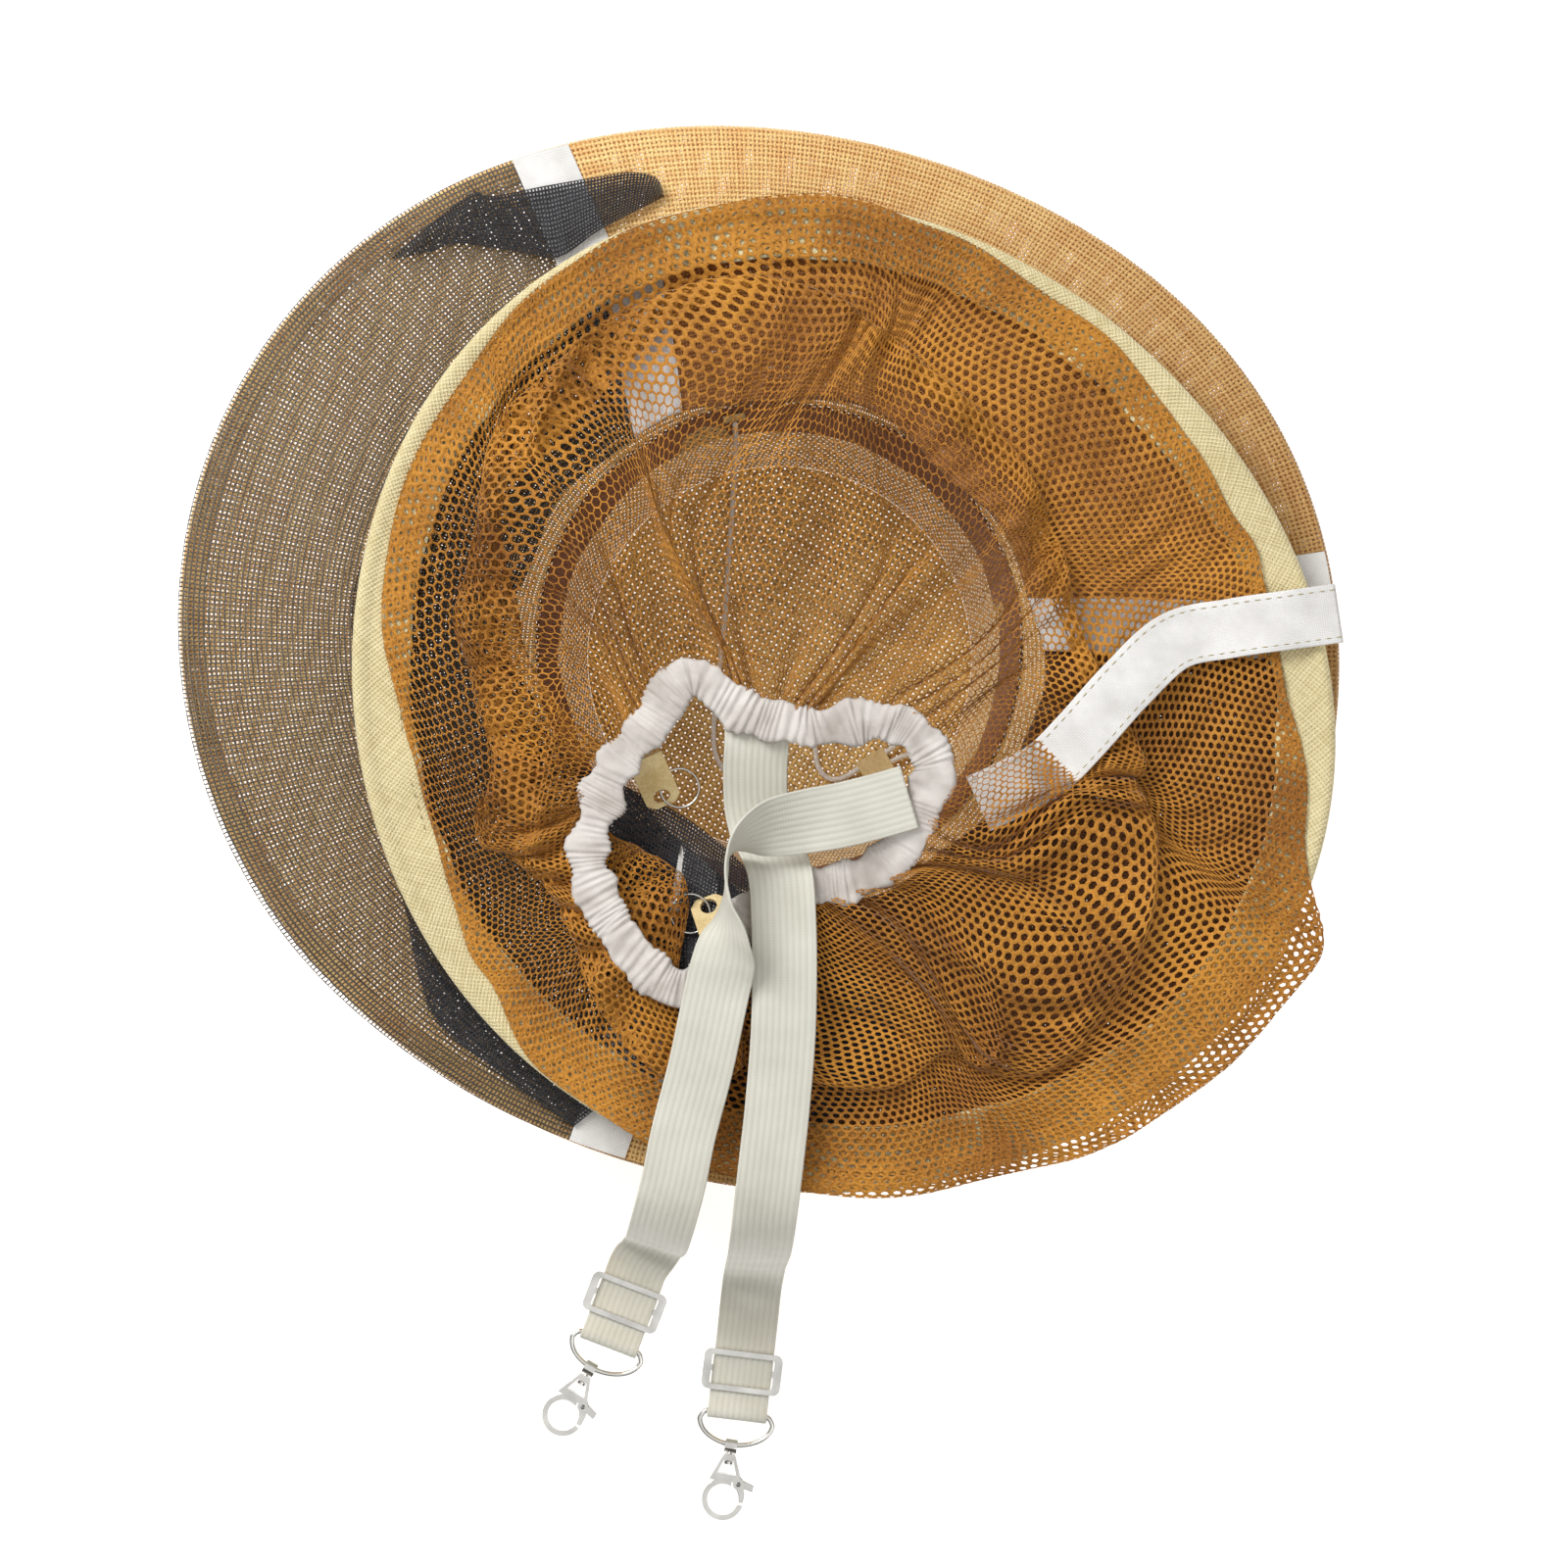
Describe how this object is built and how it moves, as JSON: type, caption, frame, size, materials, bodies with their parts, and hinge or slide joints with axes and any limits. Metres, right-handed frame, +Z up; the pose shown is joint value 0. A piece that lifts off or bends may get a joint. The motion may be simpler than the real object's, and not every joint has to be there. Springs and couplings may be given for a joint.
{
  "type": "beekeeping veil",
  "caption": "Round cloth hat with a hooped see-through veil, netting neck piece, gathered elastic collar and clip-on straps, collapsed and lying crown-down.",
  "frame": {"origin": "centre of the crown's outer face, which rests on the surface", "axes": "+Z up out of the crown's opening, -X towards the wearer's front, -Y along the straps"},
  "size_m": [0.457, 0.5666, 0.1705],
  "materials": {
    "tan_cloth": "open plain weave, matt",
    "lining": "smooth lining cloth, matt",
    "black_screen": "fine see-through weave, matt",
    "white_cloth": "plain cotton cloth, matt",
    "white_cord": "smooth braided cord, matt",
    "canvas": "canvas weave, matt",
    "netting": "hexagonal netting, slight sheen",
    "elastic": "ribbed woven elastic, matt",
    "leather": "smooth split leather, satin",
    "wire": "drawn steel",
    "nickel": "nickel plated, polished"
  },
  "bodies": {
    "hat": {"crown_tip": "tan_cloth", "crown_side": "tan_cloth", "sweatband": "lining", "brim": "tan_cloth", "brim_wire": "wire", "brim_binding": "tan_cloth", "front_screen": "black_screen", "rear_panel_a": "tan_cloth", "rear_panel_b": "tan_cloth", "curtain_tape_back": "white_cloth", "curtain_tape_side_a": "white_cloth", "curtain_tape_side_b": "white_cloth", "cord_anchor_side_a": "leather", "cord_anchor_side_b": "leather", "chin_cord": "white_cord"},
    "hoop": {"hoop_wire": "wire", "hoop_band": "canvas", "neck_net": "netting", "neck_seam_tape": "white_cloth"},
    "neck": {"collar_casing": "white_cloth", "collar_elastic": "elastic", "ring_tab_front": "leather", "ring_tab_side": "leather", "strap_left": "elastic", "strap_right": "elastic"},
    "cord_slider": {"cord_slider": "leather"},
    "split_ring_front": {"split_ring_front": "nickel"},
    "split_ring_side": {"split_ring_side": "nickel"},
    "triglide_right": {"triglide_right": "nickel"},
    "d_ring_right": {"d_ring_right": "nickel"},
    "swivel_right": {"swivel_eye_right": "nickel"},
    "hook_right": {"hook_body_right": "nickel", "gate_pin_right": "wire", "gate_spring_right": "wire"},
    "gate_right": {"hook_gate_right": "nickel"},
    "triglide_left": {"triglide_left": "nickel"},
    "d_ring_left": {"d_ring_left": "nickel"},
    "swivel_left": {"swivel_eye_left": "nickel"},
    "hook_left": {"hook_body_left": "nickel", "gate_pin_left": "wire", "gate_spring_left": "wire"},
    "gate_left": {"hook_gate_left": "nickel"}
  },
  "joints": [
    {"name": "veil_drop", "type": "slide", "parent": "hat", "child": "hoop", "axis": [0, 0, 1], "range_m": [0, 0.16], "deforming": ["front_screen", "rear_panel_a", "rear_panel_b", "curtain_tape_back", "curtain_tape_side_a", "curtain_tape_side_b"]},
    {"name": "neck_lift", "type": "slide", "parent": "hoop", "child": "neck", "axis": [0, 0, 1], "range_m": [0, 0.12], "deforming": ["neck_net", "neck_seam_tape"]},
    {"name": "cord_slider_slide", "type": "slide", "parent": "hat", "child": "cord_slider", "axis": [-0.8572, -0.515, 0], "range_m": [0, 0.003]},
    {"name": "split_ring_front_hinge", "type": "hinge", "parent": "neck", "child": "split_ring_front", "pos_m": [-0.04568, -0.06067, 0.12422], "axis": [-0.3955, 0.9184, 0], "range_deg": [0, 45]},
    {"name": "split_ring_side_hinge", "type": "hinge", "parent": "neck", "child": "split_ring_side", "pos_m": [-0.02728, -0.10392, 0.12422], "axis": [0.3305, -0.9438, 0], "range_deg": [0, 35]},
    {"name": "triglide_right_slide", "type": "slide", "parent": "neck", "child": "triglide_right", "axis": [0.1201, 0.9928, 0], "range_m": [0, 0.007]},
    {"name": "d_ring_right_hinge", "type": "hinge", "parent": "neck", "child": "d_ring_right", "pos_m": [-0.0178, -0.3175, 0.0028], "axis": [0.9928, -0.1201, 0], "range_deg": [-90, 90]},
    {"name": "swivel_right_swing", "type": "hinge", "parent": "d_ring_right", "child": "swivel_right", "pos_m": [-0.02021, -0.33019, 0.0028], "axis": [0.9877, -0.1564, 0], "range_deg": [-80, 80]},
    {"name": "swivel_right_turn", "type": "hinge", "parent": "swivel_right", "child": "hook_right", "pos_m": [-0.02021, -0.33019, 0.0028], "axis": [0.1564, 0.9877, 0], "continuous": true},
    {"name": "gate_right_hinge", "type": "hinge", "parent": "hook_right", "child": "gate_right", "pos_m": [-0.01715, -0.34667, 0.0028], "axis": [0, 0, 1], "range_deg": [-30, 0], "stiffness_Nm_per_rad": 0.02, "springref_deg": 17.19},
    {"name": "triglide_left_slide", "type": "slide", "parent": "neck", "child": "triglide_left", "axis": [0.3584, 0.9336, 0], "range_m": [0, 0.007]},
    {"name": "d_ring_left_hinge", "type": "hinge", "parent": "neck", "child": "d_ring_left", "pos_m": [-0.0713, -0.2874, 0.0028], "axis": [0.9336, -0.3584, 0], "range_deg": [-90, 90]},
    {"name": "swivel_left_swing", "type": "hinge", "parent": "d_ring_left", "child": "swivel_left", "pos_m": [-0.07922, -0.29787, 0.0028], "axis": [0.866, -0.5, 0], "range_deg": [-80, 80]},
    {"name": "swivel_left_turn", "type": "hinge", "parent": "swivel_left", "child": "hook_left", "pos_m": [-0.07922, -0.29787, 0.0028], "axis": [0.5, 0.866, 0], "continuous": true},
    {"name": "gate_left_hinge", "type": "hinge", "parent": "hook_left", "child": "gate_left", "pos_m": [-0.08227, -0.31436, 0.0028], "axis": [0, 0, 1], "range_deg": [-30, 0], "stiffness_Nm_per_rad": 0.02, "springref_deg": 17.19}
  ]
}
